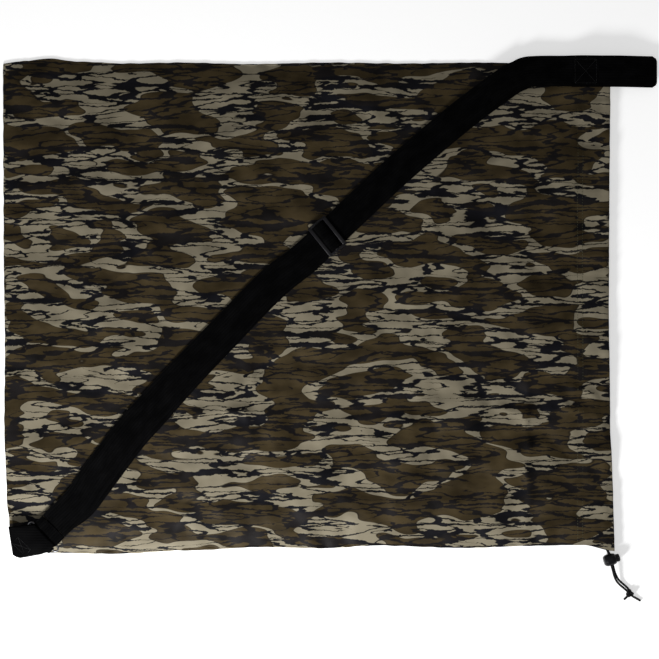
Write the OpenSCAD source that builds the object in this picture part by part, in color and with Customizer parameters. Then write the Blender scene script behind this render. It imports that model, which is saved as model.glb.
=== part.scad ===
/* [Sack] */
// Length of the cloth from the bottom seam to the mouth
cloth_len = 965; // [955:1:970]
// Width of the sack from side seam to side seam
sack_w = 780; // [760:1:784]
// Thickness of a cloth panel, with its coating
cloth_t = 1.0; // [0.8:0.1:1.2]
// Height of the front panel's upper face above the ground
sack_h = 14.6; // [14.2:0.1:15]
// Width of the bottom seam strip
bottom_seam_w = 8; // [6:1:10]
// Width of a side seam allowance
side_seam_w = 8; // [6:1:10]

/* [Mouth] */
// Width of the hem at the mouth, folded round the drawcord
hem_w = 56; // [52:1:60]
// Height of one hem below or above its panel
hem_h = 4.0; // [3.9:0.1:4]
// Thickness of the turned-in layer of the hem
hem_skin = 0.5; // [0.4:0.1:0.6]
// Distances of the two stitch rows from the mouth's edge
stitch_rows = [43, 51]; // [40:1:52]
// Radius of the drawcord inside the hems
run_r = 1.7; // [1.5:0.1:1.7]
// Radius of the drawcord's free tails
tail_r = 1.8; // [1.6:0.1:1.8]

/* [Strap] */
// Width of the webbing
web_w = 50; // [48:1:52]
// Thickness of the webbing
web_t = 1.6; // [1.4:0.1:1.6]
// How far the strap's folded end reaches past the mouth
strap_reach = 77; // [70:1:77]
// Length of the sewn lower layer on the front panel
anchor_len = 60; // [50:1:70]

/* [Slider] */
// Length of the slider along the strap
slider_len = 35; // [34:1:36]
// Width of the slider across the strap
slider_w = 58; // [57:1:60]
// Thickness of the slider
slider_t = 3; // [2.5:0.1:3]
// Width of each slot along the strap
slot_len = 9; // [8.5:0.5:9]
// Turn of the slider, from +X towards +Y; it sits a little askew on the strap
slider_turn = 39; // [38:1:43]

/* [Corner ring] */
// Radius of the ring's round wire
ring_r = 1.5; // [1.4:0.1:1.5]
// Distance between the middles of the ring's two long bars
ring_gap = 9; // [9:0.5:12]
// Straight length of the ring's long bars
ring_len = 53; // [52:1:56]
// Direction of the strap at the ring, from +X towards +Y
ring_turn = 46; // [45:1:47]

/* [Cord lock] */
// Radius of the lock's round body
lock_r = 9.5; // [9:0.1:9.5]
// Radius of the hole that both cords pass through
lock_hole_r = 4.1; // [4:0.1:4.2]
// Radius of the plunger and its button
plunger_r = 6.2; // [6:0.1:6.2]
// Travel of the plunger when pressed
press_travel = 2.5; // [2:0.1:2.5]
// Turn of the lock's axis from +X towards +Y
lock_turn = 15; // [10:1:20]

/* [Hidden] */

$fn = 48;
fit_gap = 0.3;       // gap between pieces of different bodies
skin_gap = 0.2;      // gap between layers that lie on each other
thread_t = 0.3;      // height of sewing thread above the cloth
thread_w = 0.9;      // width of a stitch row

// The sack lies on z = 0, its bottom seam at the left and its mouth at the right
left_x = -525;
seam_x = left_x + bottom_seam_w;
mouth_x = seam_x + cloth_len;
side_mid_y = 3;
upper_y = side_mid_y + sack_w / 2;
lower_y = side_mid_y - sack_w / 2;
hem_x = mouth_x - hem_w;
hem_channel_x = mouth_x - 39;
hem_fold_w = 1;      // width of the fold at the mouth's edge
hem_upper_y = upper_y - side_seam_w;
hem_lower_y = lower_y + side_seam_w;
front_z = sack_h - cloth_t;
back_cord_z = cloth_t + (hem_h - hem_skin) / 2;
front_cord_z = front_z - (hem_h - hem_skin) / 2;
hem_cord_x = mouth_x - 7;
run_out = 0.3;       // how far the drawcord's hidden runs reach out of the hems

// Heights of the webbing layers on the front panel
layer_gap = 0.4;
layer1_z = sack_h + skin_gap;
layer2_z = layer1_z + web_t + layer_gap;
strap_top_z = layer2_z + web_t;
fold_x = mouth_x + strap_reach;
strap_y = 377;

// Middle line of the strap from the mouth to the corner ring
strap_line = [
    [mouth_x - 1, strap_y], [330, strap_y], [303, 370], [276, 354], [203, 299], [109, 219], [46, 160],
    [-36, 83], [-92, 39], [-169, -39], [-234, -105], [-288, -163], [-323, -202], [-379, -277], [-402, -311],
    [-440.6, -349.8]
];
// Middle line of the second layer, from the slider to the corner ring; it shows beside the first
return_line = [
    [-14, 102], [-38, 78], [-94, 32], [-169, -45.5], [-231, -111], [-283, -170], [-318, -209], [-374, -284],
    [-399, -316], [-428.1, -336.9], [-440.6, -349.8]
];
tack_turn = 43;      // direction of the second layer at its sewn end

// Slider, with its middle bar between two slots
slider_at = [-4, 112.8];
slider_z = strap_top_z + fit_gap;
bar_w = 5;
slot_w = web_w + 3;
slider_corner = 3;

// Corner ring: the strap bends round one long bar, the patch's tab round the other
ring_at = [-457.3, -367.1];
bend_in = ring_r + fit_gap;
bend_out = bend_in + web_t;
bend_steps = 14;
ring_z = layer1_z + bend_out;
wrap_len = 18;
tab_len = 18;
patch_outline = [[-514, -352], [-494, -354], [-491.7, -366.9], [-456.6, -400.8], [-495, -402], [-508, -397]];
patch_stitch_at = [-493, -383];

// Cord lock, along its own axis: closed end, open end, button and plunger
lock_at = [450.5, -404.8, lock_r];
lock_back = -11.5;
lock_front = 8;
button_end = 14.5;
plunger_tail = -5.6;
plunger_bore_r = plunger_r + 0.2;
cavity_back = lock_back + 1.5;
spring_r = 4.4;
spring_wire_r = 0.25;
spring_turns = 2.5;
spring_steps = 12;

// Routes of the two drawcord tails, from the hem's open end through the lock to the knot and their tips
tail_long_route = [
    [441, -380.3, 11.8], [442.3, -384.5, 11.8], [444.2, -389, 11.6], [446.3, -394, 11.3], [447.8, -399.5, 11],
    [449.2, -405.2, 10.9], [450.7, -411, 10.9], [452, -416, 10.9], [453.4, -421, 10.9], [454.8, -426.5, 10.7],
    [456.7, -432.5, 9.6], [459.6, -438.5, 7.6], [463.8, -443.8, 5.4], [469, -448.6, 3.8], [474.6, -453.2, 3.4],
    [479.5, -457.6, 4.2], [483.5, -461.8, 4.2], [487.4, -465, 3], [491.8, -467.6, 2.1], [496, -470, 1.8],
    [499.5, -472, 1.8]
];
tail_short_route = [
    [441, -380.3, 2.8], [442, -384.5, 3.2], [444.6, -389, 5.2], [448.2, -394.4, 7.2], [450.4, -400, 8],
    [451.8, -404.5, 8.1], [453.3, -410.3, 8.1], [454.6, -415.3, 8.1], [456, -420.3, 8], [457.6, -426, 7.4],
    [460.4, -432, 6], [463.9, -437.6, 4.2], [468.9, -442.7, 2.5], [474.4, -447.5, 1.9], [479.2, -452.1, 2.4],
    [481.8, -456.6, 3.8], [481, -461.2, 3.6], [478.4, -465, 2.4], [475.6, -468, 1.9], [473.4, -470, 1.9]
];
knot_at = [481.6, -459.6, 4.8];
knot_r = 4.8;

// ---- Helpers ----

// Box between two corners
module box(low, high) {
    translate(low)
        cube(high - low);
}

function unit(v) = v / norm(v);
function left_of(v) = [-v[1], v[0]];
// Direction of a line of points at point i
function heading(line, i) = unit(line[min(i + 1, len(line) - 1)] - line[max(i - 1, 0)]);
// The line's points moved sideways by d
function beside(line, d) = [for (i = [0:len(line) - 1]) line[i] + d * left_of(heading(line, i))];
function reversed(line) = [for (i = [len(line) - 1:-1:0]) line[i]];

// Flat webbing of the strap's width along a line, from height z
module webbing(line, z) {
    translate([0, 0, z])
        linear_extrude(web_t)
            polygon(concat(beside(line, web_w / 2), reversed(beside(line, -web_w / 2))));
}

// Round cord along a route of 3-D points
module cord(route, r, sides) {
    count = len(route);
    rings = [
        for (i = [0:count - 1])
            let (
                ahead = heading(route, i),
                side = unit(cross(ahead, [0, 0, 1])),
                rise = cross(side, ahead)
            )
            for (k = [0:sides - 1])
                route[i] + r * (cos(360 * k / sides) * side + sin(360 * k / sides) * rise)
    ];
    walls = [
        for (i = [0:count - 2])
            for (k = [0:sides - 1])
                [
                    i * sides + k, i * sides + (k + 1) % sides,
                    (i + 1) * sides + (k + 1) % sides, (i + 1) * sides + k
                ]
    ];
    first_end = [for (k = [sides - 1:-1:0]) k];
    last_end = [for (k = [0:sides - 1]) (count - 1) * sides + k];
    polyhedron(points = rings, faces = concat(walls, [first_end], [last_end]), convexity = 6);
}

// Turned-in layer of a hem, over the hollow that holds the drawcord, drawn for a back panel at z = 0
module hem_layer() {
    box([hem_channel_x, hem_lower_y, hem_h - hem_skin], [mouth_x - hem_fold_w, hem_upper_y, hem_h]);
}

// Fold of the cloth at the mouth's edge
module hem_fold() {
    box([mouth_x - hem_fold_w, hem_lower_y, 0], [mouth_x, hem_upper_y, hem_h]);
}

// Turned-under edge of the hem, sewn to the panel by both stitch rows
module hem_sewn_edge() {
    box([hem_x, hem_lower_y, 0], [hem_channel_x, hem_upper_y, hem_h]);
}

// Puts a hem's piece on the back panel
module at_back_hem() {
    translate([0, 0, cloth_t])
        children();
}

// Puts a hem's piece under the front panel
module at_front_hem() {
    translate([0, 0, front_z])
        mirror([0, 0, 1])
            children();
}

// Two rows of thread along a hem, standing on height z
module hem_thread(z, end_y) {
    for (row = stitch_rows)
        box(
            [mouth_x - row - thread_w / 2, hem_lower_y + 4, z],
            [mouth_x - row + thread_w / 2, end_y, z + thread_t]
        );
}

// Sewn box with a cross of thread inside it
module box_stitch(w, d) {
    for (s = [-1, 1]) {
        translate([0, s * d / 2, thread_t / 2])
            cube([w, thread_w, thread_t], center = true);
        translate([s * w / 2, 0, thread_t / 2])
            cube([thread_w, d + thread_w, thread_t], center = true);
        rotate(s * atan2(d, w))
            translate([0, 0, thread_t / 2])
                cube([norm([w, d]) - 2, thread_w, thread_t], center = true);
    }
}

// ---- Sack ----

module back_panel() {
    color("#6f6650")
        box([seam_x, lower_y, 0], [mouth_x, upper_y, cloth_t]);
}

module bottom_seam() {
    color("#5d5442")
        box([left_x, lower_y, 0], [seam_x, upper_y, front_z - fit_gap]);
}

module side_seam(low_y) {
    color("#5d5442")
        box([seam_x, low_y, cloth_t], [hem_x, low_y + side_seam_w, front_z - fit_gap]);
}

module upper_side_seam() {
    side_seam(upper_y - side_seam_w);
}

module lower_side_seam() {
    side_seam(lower_y);
}

module back_mouth_hem() {
    color("#4f4a38")
        at_back_hem()
            hem_layer();
}

module back_hem_fold() {
    color("#4f4a38")
        at_back_hem()
            hem_fold();
}

module back_hem_sewn_edge() {
    color("#4f4a38")
        at_back_hem()
            hem_sewn_edge();
}

module back_hem_stitches() {
    color("#2f2d20")
        hem_thread(cloth_t + hem_h, hem_upper_y - 4);
}

// The run in the back hem and its turn up to the front hem at the upper corner
module drawcord_back_run() {
    turn_r = (front_cord_z - back_cord_z) / 2;
    color("#141414")
        union() {
            translate([hem_cord_x, hem_lower_y - run_out, back_cord_z])
                rotate([-90, 0, 0])
                    cylinder(h = hem_upper_y - hem_lower_y + run_out, r = run_r);
            translate([hem_cord_x, hem_upper_y, back_cord_z + turn_r])
                rotate([0, 90, 0])
                    rotate_extrude(angle = 180)
                        translate([turn_r, 0])
                            circle(run_r);
        }
}

module front_panel() {
    color("#7d7259")
        box([seam_x + 0.5, lower_y, front_z], [mouth_x, upper_y, sack_h]);
}

module front_mouth_hem() {
    color("#5a523e")
        at_front_hem()
            hem_layer();
}

module front_hem_fold() {
    color("#5a523e")
        at_front_hem()
            hem_fold();
}

module front_hem_sewn_edge() {
    color("#5a523e")
        at_front_hem()
            hem_sewn_edge();
}

module front_hem_stitches() {
    color("#2f2d20")
        hem_thread(sack_h, 345);
}

module drawcord_front_run() {
    color("#141414")
        translate([hem_cord_x, hem_lower_y - run_out, front_cord_z])
            rotate([-90, 0, 0])
                cylinder(h = hem_upper_y - hem_lower_y, r = run_r);
}

// ---- Strap ----

// Lower layer at the mouth corner, sewn to the front panel
module strap_sewn_layer() {
    color("#1b1b1b")
        webbing([[mouth_x - 1, strap_y], [mouth_x - 1 - anchor_len, strap_y]], layer1_z);
}

// Threads that sew the lower layer down, between the two layers
module strap_box_stitches() {
    color("#2b2b2b")
        translate([mouth_x - 1 - anchor_len / 2, strap_y, layer1_z + web_t])
            box_stitch(anchor_len - 10, web_w - 8);
}

module strap_main_run() {
    color("#1b1b1b")
        webbing(strap_line, layer2_z);
}

module strap_return_run() {
    color("#202020")
        webbing(return_line, layer1_z);
}

// Thread that sews the webbing's end to itself under the slider
module strap_end_bar_tack() {
    color("#2b2b2b")
        translate(concat(return_line[0], layer1_z + web_t))
            rotate(tack_turn)
                translate([-8, 0, thread_t / 2])
                    cube([4, web_w - 8, thread_t], center = true);
}

// Folded end of the strap past the mouth: two layers and the bend that joins them
module strap_end_loop() {
    bend_r = (strap_top_z - layer1_z) / 2;
    start_x = mouth_x + 2;
    color("#1b1b1b")
        translate([0, strap_y + web_w / 2, layer1_z + bend_r])
            rotate([90, 0, 0])
                linear_extrude(web_w)
                    difference() {
                        union() {
                            translate([start_x, -bend_r])
                                square([fold_x - bend_r - start_x, 2 * bend_r]);
                            translate([fold_x - bend_r, 0])
                                circle(bend_r);
                        }
                        translate([start_x - 1, -layer_gap / 2])
                            square([fold_x - bend_r - start_x + 1, layer_gap]);
                    }
}

// Frame of the slider with a bar across its middle
module slider() {
    slot_at = (bar_w + slot_len) / 2;
    color("#3a3a3c")
        translate(concat(slider_at, slider_z))
            rotate(slider_turn)
                linear_extrude(slider_t)
                    difference() {
                        union() {
                            square([slider_len, slider_w - 2 * slider_corner], center = true);
                            square([slider_len - 2 * slider_corner, slider_w], center = true);
                            for (a = [-1, 1])
                                for (b = [-1, 1])
                                    translate([
                                        a * (slider_len / 2 - slider_corner),
                                        b * (slider_w / 2 - slider_corner)
                                    ])
                                        circle(slider_corner);
                        }
                        for (s = [-1, 1])
                            translate([s * slot_at, 0])
                                square([slot_len, slot_w], center = true);
                    }
}

// Webbing that climbs out of one slot, crosses the middle bar and goes down into the other
module strap_over_slider_bar() {
    under = slider_t + fit_gap;
    top = under + web_t;
    foot_out = slot_len + bar_w / 2 - 0.5;
    foot_in = foot_out - web_t - 0.2;
    bend = bar_w / 2 + 3;
    color("#1b1b1b")
        translate(concat(slider_at, slider_z))
            rotate(slider_turn)
                translate([0, web_w / 2, 0])
                    rotate([90, 0, 0])
                        linear_extrude(web_w)
                            polygon([
                                [-foot_out, 0], [-bend - 1, top], [bend + 1, top], [foot_out, 0],
                                [foot_in, 0], [bend - 1, under], [1 - bend, under], [-foot_in, 0]
                            ]);
}

// ---- Corner ring ----

function arc(r, from, to, steps) = [
    for (i = [0:steps])
        let (turn = from + (to - from) * i / steps)
            r * [cos(turn), sin(turn)]
];

// Section of webbing bent round a bar at the origin, with both layers going to +X.
// The upper layer comes down to a gap above the lower one at its end.
module bend_section(len, end_gap) {
    upper_in = end_gap - bend_in;
    polygon(concat(
        [[len, -bend_out]],
        arc(bend_out, -90, -270, bend_steps),
        [[len, upper_in + web_t], [len, upper_in]],
        arc(bend_in, -270, -90, bend_steps),
        [[len, -bend_in]]
    ));
}

// Puts children in the ring's frame: its middle at the origin, the strap going to +X
module at_ring() {
    translate(concat(ring_at, ring_z))
        rotate(ring_turn)
            children();
}

// Webbing bent round one of the ring's bars, with its flat layers to +X
module bent_webbing(len, end_gap) {
    translate([ring_gap / 2, web_w / 2, 0])
        rotate([90, 0, 0])
            linear_extrude(web_w)
                bend_section(len, end_gap);
}

module corner_ring() {
    color("#8d8f92")
        at_ring()
            union() {
                for (s = [-1, 1])
                    translate([s * ring_gap / 2, 0, 0])
                        rotate([90, 0, 0])
                            cylinder(h = ring_len, r = ring_r, center = true);
                for (turn = [0, 180])
                    rotate(turn)
                        translate([0, ring_len / 2, 0])
                            rotate_extrude(angle = 180)
                                translate([ring_gap / 2, 0])
                                    circle(ring_r);
            }
}

module strap_ring_wrap() {
    color("#1b1b1b")
        at_ring()
            bent_webbing(wrap_len, layer_gap);
}

// Patch sewn on the sack's corner
module corner_patch() {
    color("#181818")
        translate([0, 0, layer1_z])
            linear_extrude(web_t)
                polygon(patch_outline);
}

// Webbing tab that goes round the ring's other bar, with both ends sewn down at the patch
module corner_tab() {
    color("#181818")
        at_ring()
            rotate(180)
                bent_webbing(tab_len, layer_gap);
}

module corner_patch_stitches() {
    color("#2b2b2b")
        translate(concat(patch_stitch_at, layer1_z + web_t))
            rotate(ring_turn)
                box_stitch(8, 24);
}

// ---- Cord lock ----

// Puts children in the lock's frame: its axis along +Z, the cords' hole along Y
module at_lock() {
    translate(lock_at)
        rotate(lock_turn)
            rotate([0, 90, 0])
                children();
}

module cord_hole(at) {
    translate([0, 0, at])
        rotate([90, 0, 0])
            cylinder(h = 3 * lock_r, r = lock_hole_r, center = true);
}

module cord_lock_body() {
    color("#161617")
        at_lock()
            difference() {
                rotate_extrude()
                    polygon([
                        [0, lock_back], [lock_r - 3.5, lock_back], [lock_r - 1.2, lock_back + 2],
                        [lock_r, lock_back + 5.5], [lock_r, lock_front - 5.5], [lock_r - 1, lock_front - 1.5],
                        [lock_r - 2, lock_front], [plunger_bore_r, lock_front], [plunger_bore_r, cavity_back],
                        [0, cavity_back]
                    ]);
                cord_hole(0);
            }
}

module cord_lock_plunger() {
    color("#0f0f10")
        at_lock()
            difference() {
                rotate_extrude()
                    polygon([
                        [0, plunger_tail], [plunger_r, plunger_tail], [plunger_r, button_end - 1.2],
                        [plunger_r - 1.2, button_end], [0, button_end]
                    ]);
                cord_hole(0);
                cord_hole(press_travel);
                translate([0, 0, press_travel / 2])
                    cube([2 * lock_hole_r, 3 * lock_r, press_travel], center = true);
            }
}

module cord_lock_spring() {
    low = cavity_back + spring_wire_r + 0.1;
    high = plunger_tail - spring_wire_r - 0.1;
    steps = spring_turns * spring_steps;
    color("#b0b3b8")
        at_lock()
            cord(
                [
                    for (i = [0:steps])
                        let (turn = 360 * i / spring_steps)
                            [spring_r * cos(turn), spring_r * sin(turn), low + (high - low) * i / steps]
                ],
                spring_wire_r, 6
            );
}

// ---- Drawcord tails ----

module drawcord_tail_long() {
    color("#121212")
        cord(tail_long_route, tail_r, 8);
}

module drawcord_tail_short() {
    color("#121212")
        cord(tail_short_route, tail_r, 8);
}

module drawcord_knot() {
    color("#121212")
        translate(knot_at)
            sphere(knot_r);
}

back_panel();
bottom_seam();
upper_side_seam();
lower_side_seam();
back_mouth_hem();
back_hem_fold();
back_hem_sewn_edge();
back_hem_stitches();
drawcord_back_run();
front_panel();
front_mouth_hem();
front_hem_fold();
front_hem_sewn_edge();
front_hem_stitches();
drawcord_front_run();
strap_sewn_layer();
strap_box_stitches();
strap_main_run();
strap_return_run();
strap_end_bar_tack();
strap_end_loop();
slider();
strap_over_slider_bar();
corner_patch();
corner_patch_stitches();
corner_tab();
corner_ring();
strap_ring_wrap();
cord_lock_body();
cord_lock_plunger();
cord_lock_spring();
drawcord_tail_long();
drawcord_tail_short();
drawcord_knot();
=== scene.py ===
"""Looks of the drawstring field sack with its shoulder strap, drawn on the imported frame."""
import math

import bpy
import numpy as np
from mathutils import Matrix, Vector


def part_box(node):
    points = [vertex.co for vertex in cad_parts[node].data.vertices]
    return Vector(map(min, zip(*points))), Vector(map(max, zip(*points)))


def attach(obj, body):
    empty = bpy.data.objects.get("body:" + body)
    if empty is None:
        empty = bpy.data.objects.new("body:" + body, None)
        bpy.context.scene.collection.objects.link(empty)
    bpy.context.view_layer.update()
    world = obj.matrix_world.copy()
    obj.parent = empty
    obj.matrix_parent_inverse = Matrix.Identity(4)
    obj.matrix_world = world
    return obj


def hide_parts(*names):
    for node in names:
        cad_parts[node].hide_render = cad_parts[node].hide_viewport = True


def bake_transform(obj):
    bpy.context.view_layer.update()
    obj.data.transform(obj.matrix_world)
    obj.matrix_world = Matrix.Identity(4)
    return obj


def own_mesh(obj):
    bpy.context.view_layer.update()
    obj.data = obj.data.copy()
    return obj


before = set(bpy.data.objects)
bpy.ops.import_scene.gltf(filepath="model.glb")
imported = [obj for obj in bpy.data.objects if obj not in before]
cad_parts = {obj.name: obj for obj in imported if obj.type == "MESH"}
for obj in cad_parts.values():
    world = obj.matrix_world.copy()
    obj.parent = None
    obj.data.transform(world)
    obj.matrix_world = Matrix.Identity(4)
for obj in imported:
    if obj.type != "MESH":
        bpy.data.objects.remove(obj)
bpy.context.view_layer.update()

MM = 0.001

# ---- Places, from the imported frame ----


def corners(node):
    """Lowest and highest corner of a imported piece."""
    return [np.array(corner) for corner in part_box(node)]


panel_low, panel_high = corners("front_panel")
layer_low, layer_high = corners("strap_return_run")
loop_low, loop_high = corners("strap_end_loop")
slider_low, slider_high = corners("slider")
ring_low, ring_high = corners("corner_ring")
knot_low, knot_high = corners("drawcord_knot")

mouth_x = panel_high[0]
hem_x = corners("front_hem_sewn_edge")[0][0]
hem_cord_x = mouth_x - 7 * MM
stitch_rows_x = (hem_cord_x - 36 * MM, hem_cord_x - 44 * MM)
mid_y = (panel_low[1] + panel_high[1]) / 2

# ---- Camera ----

camera = bpy.data.objects.new("camera", bpy.data.cameras.new("camera"))
camera.data.lens = 85
camera.data.sensor_width = 36
camera.location = (-0.0004, -0.036, 2.504)
bpy.context.scene.collection.objects.link(camera)
bpy.context.scene.camera = camera
bpy.context.scene.view_settings.view_transform = "Standard"

# ---- Materials ----


def node_tree(name, roughness, sheen=0.0, specular=0.5, metallic=0.0):
    """New material with its shader's constants set; returns the material, its tree and its shader."""
    material = bpy.data.materials.new(name)
    material.use_nodes = True
    tree = material.node_tree
    shader = tree.nodes["Principled BSDF"]
    shader.inputs["Roughness"].default_value = roughness
    shader.inputs["Sheen Weight"].default_value = sheen
    shader.inputs["Sheen Roughness"].default_value = 0.5
    shader.inputs["Specular IOR Level"].default_value = specular
    shader.inputs["Metallic"].default_value = metallic
    return material, tree, shader


def put(tree, socket, value):
    """Sets a socket to a constant or links it to a node's value."""
    if isinstance(value, Value):
        tree.links.new(value.socket, socket)
    else:
        socket.default_value = value


class Value:
    """Output of a shader node that takes part in formulas. Each operation adds a node to its tree."""

    def __init__(self, tree, socket):
        self.tree = tree
        self.socket = socket

    def maths(self, operation, *given):
        node = self.tree.nodes.new("ShaderNodeMath")
        node.operation = operation
        for socket, value in zip(node.inputs, given):
            put(self.tree, socket, value)
        return Value(self.tree, node.outputs[0])

    def __add__(self, other):
        return self.maths("ADD", self, other)

    def __sub__(self, other):
        return self.maths("SUBTRACT", self, other)

    def __rsub__(self, other):
        return self.maths("SUBTRACT", other, self)

    def __mul__(self, other):
        return self.maths("MULTIPLY", self, other)

    def __abs__(self):
        return self.maths("ABSOLUTE", self)

    def sine(self):
        return self.maths("SINE", self)

    def at_least(self, other):
        return self.maths("MAXIMUM", self, other)

    def at_most(self, other):
        return self.maths("MINIMUM", self, other)


def ramp(value, low, high, out_low=0.0, out_high=1.0):
    """Smooth step of a value from low to high."""
    node = value.tree.nodes.new("ShaderNodeMapRange")
    node.interpolation_type = "SMOOTHSTEP"
    for socket, given in zip(node.inputs, (value, low, high, out_low, out_high)):
        put(value.tree, socket, given)
    return Value(value.tree, node.outputs[0])


def mix(tree, factor, a, b):
    node = tree.nodes.new("ShaderNodeMix")
    node.data_type = "RGBA"
    put(tree, node.inputs[0], factor)
    put(tree, node.inputs[6], a)
    put(tree, node.inputs[7], b)
    return Value(tree, node.outputs[2])


def flat_place(tree):
    """The piece's own flat coordinates, in metres, kept in its UV map so that they follow the cloth."""
    return Value(tree, tree.nodes.new("ShaderNodeUVMap").outputs[0])


def object_place(tree):
    return Value(tree, tree.nodes.new("ShaderNodeTexCoord").outputs["Object"])


def split(place):
    """The first two coordinates of a place."""
    node = place.tree.nodes.new("ShaderNodeSeparateXYZ")
    put(place.tree, node.inputs[0], place)
    return Value(place.tree, node.outputs[0]), Value(place.tree, node.outputs[1])


def scaled(place, stretch, offset=(0, 0, 0)):
    node = place.tree.nodes.new("ShaderNodeMapping")
    put(place.tree, node.inputs["Vector"], place)
    node.inputs["Scale"].default_value = stretch
    node.inputs["Location"].default_value = offset
    return Value(place.tree, node.outputs[0])


def cloud(place, stretch=(1, 1, 1), offset=(0, 0, 0), detail=2.0, roughness=0.5, scale=1.0):
    """Value of a noise texture, about 0.5 in the middle."""
    node = place.tree.nodes.new("ShaderNodeTexNoise")
    put(place.tree, node.inputs["Vector"], scaled(place, stretch, offset))
    node.inputs["Scale"].default_value = scale
    node.inputs["Detail"].default_value = detail
    node.inputs["Roughness"].default_value = roughness
    return Value(place.tree, node.outputs[0])


def surface(tree, shader, colour, height, distance, roughness=None, strength=1.0):
    """Links the colour, the relief of a given height and, where it varies, the roughness."""
    put(tree, shader.inputs["Base Color"], colour)
    if roughness is not None:
        put(tree, shader.inputs["Roughness"], roughness)
    node = tree.nodes.new("ShaderNodeBump")
    node.inputs["Strength"].default_value = strength
    node.inputs["Distance"].default_value = distance
    put(tree, node.inputs["Height"], height)
    tree.links.new(node.outputs[0], shader.inputs["Normal"])


def thread_weave(place, pitch):
    """Height of a plain weave of crossing threads."""
    x, y = split(place)
    turns = 2 * math.pi / pitch
    return (x * turns).sine() * (y * turns).sine()


def bent_place(tree, place):
    """The flat place, moved up and down a little so that edges of the print come out jagged."""
    jag = cloud(place, (95, 210, 1), roughness=0.6)
    shift = (jag - 0.5) * 0.006
    step = tree.nodes.new("ShaderNodeCombineXYZ")
    put(tree, step.inputs[0], shift)
    put(tree, step.inputs[1], shift)
    total = tree.nodes.new("ShaderNodeVectorMath")
    total.operation = "ADD"
    put(tree, total.inputs[0], place)
    tree.links.new(step.outputs[0], total.inputs[1])
    return Value(tree, total.outputs[0])


def bark_strokes(place, stretch, seed, width):
    """Mask of long level strokes with pointed ends, like furrows in bark."""
    lines = cloud(place, stretch, (seed, 0.3 * seed, 0), detail=1.0, roughness=0.4)
    body = cloud(place, (9, 30, 1), (seed, 2 * seed, 0))
    widest = 0.034
    reach = ((body - 0.35) * width).at_most(widest)
    return ramp(reach - abs(lines - 0.5), -0.003, 0.005)


def camo_cloth(name, dim=1.0):
    """Coated cloth with a bark-like print: tan ground, brown patches with a dark rim, charcoal strokes."""
    material, tree, shader = node_tree(name, 0.5, sheen=0.02, specular=0.07)
    place = flat_place(tree)
    hills = cloud(place, (6.5, 17, 1), (3, 1, 0), roughness=0.42)
    lean = cloud(place, (10, 24, 1), (13, 8, 0), detail=1.0)
    off_ground = abs(hills - 0.5) - ramp(lean, 0.3, 0.7, 0.014, 0.086)
    brown = ramp(off_ground, -0.002, 0.002)
    inside = ramp(off_ground, 0.002, 0.009)
    tone = cloud(place, (16, 34, 1), (7, 5, 0), detail=3.0)
    tan_colour = mix(tree, tone, (0.19, 0.165, 0.112, 1), (0.30, 0.265, 0.19, 1))
    brown_tone = ramp(tone, 0.32, 0.68)
    brown_colour = mix(tree, brown_tone, (0.030, 0.021, 0.009, 1), (0.065, 0.0465, 0.0208, 1))
    rim_colour = mix(tree, inside, (0.018, 0.013, 0.007, 1), brown_colour)
    ground = mix(tree, brown, tan_colour, rim_colour)
    bent = bent_place(tree, place)
    strokes = bark_strokes(bent, (8, 58, 1), 11.0, 0.28).at_least(bark_strokes(bent, (12, 80, 1), 29.0, 0.26))
    clumps = cloud(bent, (15, 58, 1), (41, 17, 0))
    strokes = strokes.at_least(ramp(clumps, 0.655, 0.66))
    stroke_tone = ramp(tone, 0.3, 0.7)
    stroke_colour = mix(tree, stroke_tone, (0.0038, 0.0037, 0.0047, 1), (0.0078, 0.0078, 0.0108, 1))
    colour = mix(tree, strokes * (1.0 - brown * 0.1), ground, stroke_colour)
    dimmed = mix(tree, dim, (0, 0, 0, 1), colour)
    grain = cloud(place, (900, 900, 1))
    relief = thread_weave(place, 0.9 * MM) * 0.5 + grain
    surface(tree, shader, dimmed, relief, 0.06 * MM, ramp(grain, 0.2, 0.8, 0.42, 0.6))
    return material


def webbing_material(name, colour=(0.0011, 0.0011, 0.0012, 1), light=(0.0046, 0.0046, 0.005, 1)):
    """Flat woven webbing: rows of slanting ribs, worn a little lighter here and there and at its edges, with
    painted shade in the grooves between the ribs.
    """
    material, tree, shader = node_tree(name, 0.7, specular=0.015)
    place = flat_place(tree)
    along, across = split(place)
    column = across * (2 * math.pi / (4.2 * MM))
    row = along * (2 * math.pi / (1.6 * MM))
    ribs = (row + column.sine() * 0.9).sine()
    cords = column.maths("COSINE", column)
    height = ribs * 0.5 + cords * 0.6
    wear = cloud(place, (30, 60, 1), detail=5.0, roughness=0.65)
    edge = ramp(abs(across), 22.5 * MM, 25 * MM)
    # Painted shade: the colour follows the relief's height, darker in the low grooves between the ribs.
    tone = ramp(wear, 0.35, 0.75) * ramp(height, -1, 1, 0.4, 1.0)
    shade = mix(tree, tone.at_least(edge * 0.7), colour, light)
    surface(tree, shader, shade, height, 0.2 * MM, ramp(wear, 0.2, 0.8, 0.55, 0.75), 0.8)
    return material


def thread_material(name, colour, light):
    """Twisted sewing thread."""
    material, tree, shader = node_tree(name, 0.5, sheen=0.05, specular=0.2)
    place = flat_place(tree)
    twist = tree.nodes.new("ShaderNodeTexWave")
    put(tree, twist.inputs["Vector"], scaled(place, (1100, 1500, 1)))
    twist.inputs["Scale"].default_value = 1.0
    shade = mix(tree, cloud(place, (160, 160, 1)), colour, light)
    surface(tree, shader, shade, Value(tree, twist.outputs["Fac"]), 0.12 * MM)
    return material


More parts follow.
